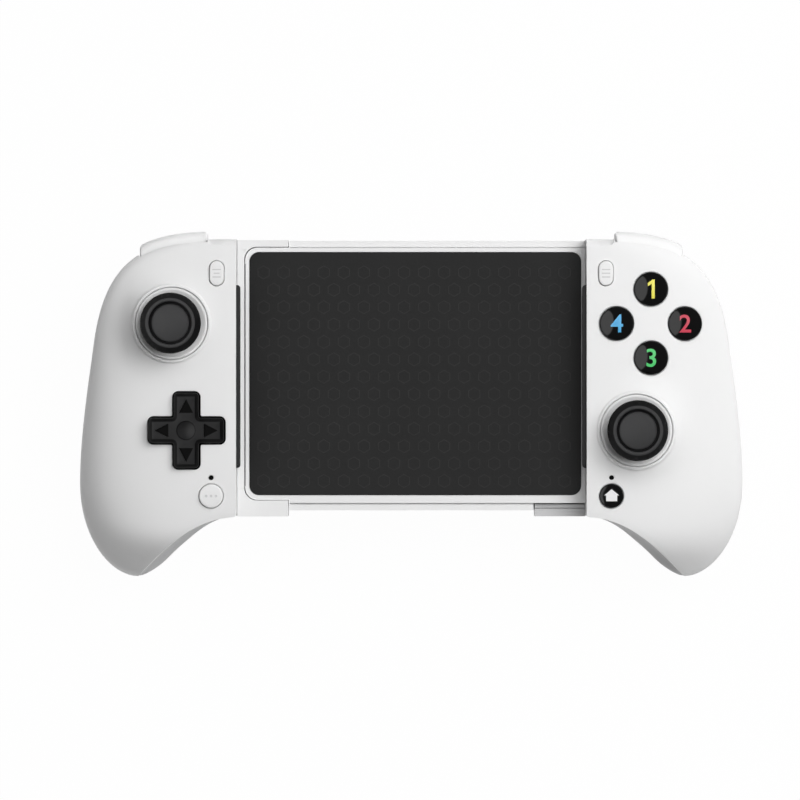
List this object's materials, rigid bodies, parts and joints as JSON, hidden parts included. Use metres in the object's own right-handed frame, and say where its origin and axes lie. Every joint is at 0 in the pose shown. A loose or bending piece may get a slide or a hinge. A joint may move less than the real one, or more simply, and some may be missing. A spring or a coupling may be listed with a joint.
{
  "type": "mobile game controller",
  "caption": "Telescopic game controller with two full-size grips, tilting thumbsticks, direction pad, buttons and triggers, on a sprung bridge that stretches to hold a phone.",
  "frame": {"origin": "centre of the bounding box in X and Y at the lowest point of the backs, with the bridge closed", "axes": "+X from the left grip to the right grip, +Y towards the bumpers, +Z out of the face"},
  "size_m": [0.2058, 0.1068, 0.0547],
  "materials": {
    "white_plastic": "satin moulded white",
    "pale_plastic": "satin moulded pale grey",
    "black_plastic": "satin moulded black",
    "gloss_black": "glossy black",
    "rubber": "soft matt black",
    "silicone": "grey silicone",
    "nylon": "natural nylon",
    "board": "green circuit board",
    "polyimide": "amber flexible circuit",
    "steel": "plain steel"
  },
  "bodies": {
    "right_half": {"right_front_shell": "white_plastic", "right_rear_shell": "pale_plastic", "right_phone_pad": "rubber", "right_stick_ring": "white_plastic", "right_stick_housing": "black_plastic", "right_pcb": "board", "right_tact_switches": "black_plastic", "right_led_lens": "gloss_black", "right_trigger_pin": "steel", "right_trigger_spring": "steel", "right_shoulder_frame": "black_plastic", "right_screws": "steel", "face_button_membrane": "silicone", "usb_socket": "steel", "bridge_tray": "white_plastic", "bridge_mat": "rubber", "bridge_back_plate": "pale_plastic", "return_springs": "steel", "flex_cable": "polyimide"},
    "left_half": {"left_front_shell": "white_plastic", "left_rear_shell": "pale_plastic", "left_phone_pad": "rubber", "left_stick_ring": "white_plastic", "left_stick_housing": "black_plastic", "left_pcb": "board", "left_tact_switches": "black_plastic", "left_led_lens": "gloss_black", "left_trigger_pin": "steel", "left_trigger_spring": "steel", "left_shoulder_frame": "black_plastic", "left_screws": "steel", "dpad_membrane": "silicone", "battery": "black_plastic", "left_bracket": "white_plastic", "slider_plate": "steel"},
    "right_stick_x": {"right_stick_x_rocker": "nylon"},
    "right_stick_y": {"right_stick_y_rocker": "nylon"},
    "right_stick": {"right_stick_stem": "steel", "right_stick_cap": "rubber"},
    "left_stick_x": {"left_stick_x_rocker": "nylon"},
    "left_stick_y": {"left_stick_y_rocker": "nylon"},
    "left_stick": {"left_stick_stem": "steel", "left_stick_cap": "rubber"},
    "dpad_pivot": {"dpad_ball": "nylon"},
    "dpad": {"dpad": "black_plastic"},
    "face_button_top": {"face_button_top": "gloss_black"},
    "face_button_right": {"face_button_right": "gloss_black"},
    "face_button_bottom": {"face_button_bottom": "gloss_black"},
    "face_button_left": {"face_button_left": "gloss_black"},
    "menu_button": {"menu_button": "pale_plastic"},
    "home_button": {"home_button": "gloss_black"},
    "view_button": {"view_button": "pale_plastic"},
    "profile_button": {"profile_button": "pale_plastic"},
    "right_bumper": {"right_bumper": "pale_plastic"},
    "right_trigger": {"right_trigger": "black_plastic"},
    "right_back_button": {"right_back_button": "pale_plastic"},
    "left_bumper": {"left_bumper": "pale_plastic"},
    "left_trigger": {"left_trigger": "black_plastic"},
    "left_back_button": {"left_back_button": "pale_plastic"}
  },
  "joints": [
    {"name": "bridge_slide", "type": "slide", "parent": "right_half", "child": "left_half", "axis": [-1, 0, 0], "range_m": [0, 0.066], "stiffness_N_per_m": 20, "springref_m": -0.1, "deforming": ["return_springs", "flex_cable"]},
    {"name": "right_stick_tilt_x", "type": "hinge", "parent": "right_half", "child": "right_stick_x", "pos_m": [0.069, -0.0078, 0.03403], "axis": [1, 0, 0], "range_deg": [-15, 15], "stiffness_Nm_per_rad": 0.02},
    {"name": "right_stick_tilt_y", "type": "hinge", "parent": "right_stick_x", "child": "right_stick_y", "pos_m": [0.069, -0.0078, 0.03403], "axis": [0, 1, 0], "range_deg": [-15, 15], "stiffness_Nm_per_rad": 0.02},
    {"name": "right_stick_click", "type": "slide", "parent": "right_stick_y", "child": "right_stick", "axis": [0, 0, -1], "range_m": [0, 0.0005], "stiffness_N_per_m": 2000, "springref_m": -0.0005},
    {"name": "left_stick_tilt_x", "type": "hinge", "parent": "left_half", "child": "left_stick_x", "pos_m": [-0.0735, 0.025, 0.03346], "axis": [1, 0, 0], "range_deg": [-15, 15], "stiffness_Nm_per_rad": 0.02},
    {"name": "left_stick_tilt_y", "type": "hinge", "parent": "left_stick_x", "child": "left_stick_y", "pos_m": [-0.0735, 0.025, 0.03346], "axis": [0, 1, 0], "range_deg": [-15, 15], "stiffness_Nm_per_rad": 0.02},
    {"name": "left_stick_click", "type": "slide", "parent": "left_stick_y", "child": "left_stick", "axis": [0, 0, -1], "range_m": [0, 0.0005], "stiffness_N_per_m": 2000, "springref_m": -0.0005},
    {"name": "dpad_tilt_x", "type": "hinge", "parent": "left_half", "child": "dpad_pivot", "pos_m": [-0.069, -0.0078, 0.03683], "axis": [1, 0, 0], "range_deg": [-2.5, 2.5], "stiffness_Nm_per_rad": 0.3, "deforming": ["dpad_membrane"]},
    {"name": "dpad_tilt_y", "type": "hinge", "parent": "dpad_pivot", "child": "dpad", "pos_m": [-0.069, -0.0078, 0.03683], "axis": [0, 1, 0], "range_deg": [-2.5, 2.5], "stiffness_Nm_per_rad": 0.3, "deforming": ["dpad_membrane"]},
    {"name": "face_button_top_press", "type": "slide", "parent": "right_half", "child": "face_button_top", "axis": [0, 0, -1], "range_m": [0, 0.0012], "stiffness_N_per_m": 500, "springref_m": -0.001, "deforming": ["face_button_membrane"]},
    {"name": "face_button_right_press", "type": "slide", "parent": "right_half", "child": "face_button_right", "axis": [0, 0, -1], "range_m": [0, 0.0012], "stiffness_N_per_m": 500, "springref_m": -0.001, "deforming": ["face_button_membrane"]},
    {"name": "face_button_bottom_press", "type": "slide", "parent": "right_half", "child": "face_button_bottom", "axis": [0, 0, -1], "range_m": [0, 0.0012], "stiffness_N_per_m": 500, "springref_m": -0.001, "deforming": ["face_button_membrane"]},
    {"name": "face_button_left_press", "type": "slide", "parent": "right_half", "child": "face_button_left", "axis": [0, 0, -1], "range_m": [0, 0.0012], "stiffness_N_per_m": 500, "springref_m": -0.001, "deforming": ["face_button_membrane"]},
    {"name": "menu_button_press", "type": "slide", "parent": "right_half", "child": "menu_button", "axis": [0, 0, -1], "range_m": [0, 0.0005], "stiffness_N_per_m": 800, "springref_m": -0.0005},
    {"name": "home_button_press", "type": "slide", "parent": "right_half", "child": "home_button", "axis": [0, 0, -1], "range_m": [0, 0.0005], "stiffness_N_per_m": 800, "springref_m": -0.0005},
    {"name": "view_button_press", "type": "slide", "parent": "left_half", "child": "view_button", "axis": [0, 0, -1], "range_m": [0, 0.0005], "stiffness_N_per_m": 800, "springref_m": -0.0005},
    {"name": "profile_button_press", "type": "slide", "parent": "left_half", "child": "profile_button", "axis": [0, 0, -1], "range_m": [0, 0.0005], "stiffness_N_per_m": 800, "springref_m": -0.0005},
    {"name": "right_bumper_press", "type": "hinge", "parent": "right_half", "child": "right_bumper", "pos_m": [0.0652, 0.04555, 0.033], "axis": [0, 0, -1], "range_deg": [0, 3], "stiffness_Nm_per_rad": 0.5, "springref_deg": -2.86},
    {"name": "right_trigger_pull", "type": "hinge", "parent": "right_half", "child": "right_trigger", "pos_m": [0.0734, 0.04, 0.024], "axis": [-1, 0, 0], "range_deg": [0, 15], "stiffness_Nm_per_rad": 0.05, "springref_deg": -34.38, "deforming": ["right_trigger_spring"]},
    {"name": "right_back_button_press", "type": "slide", "parent": "right_half", "child": "right_back_button", "axis": [0, 0, 1], "range_m": [0, 0.0008], "stiffness_N_per_m": 800, "springref_m": -0.0005},
    {"name": "left_bumper_press", "type": "hinge", "parent": "left_half", "child": "left_bumper", "pos_m": [-0.0652, 0.04555, 0.033], "axis": [0, 0, 1], "range_deg": [0, 3], "stiffness_Nm_per_rad": 0.5, "springref_deg": -2.86},
    {"name": "left_trigger_pull", "type": "hinge", "parent": "left_half", "child": "left_trigger", "pos_m": [-0.0734, 0.04, 0.024], "axis": [-1, 0, 0], "range_deg": [0, 15], "stiffness_Nm_per_rad": 0.05, "springref_deg": -34.38, "deforming": ["left_trigger_spring"]},
    {"name": "left_back_button_press", "type": "slide", "parent": "left_half", "child": "left_back_button", "axis": [0, 0, 1], "range_m": [0, 0.0008], "stiffness_N_per_m": 800, "springref_m": -0.0005}
  ]
}
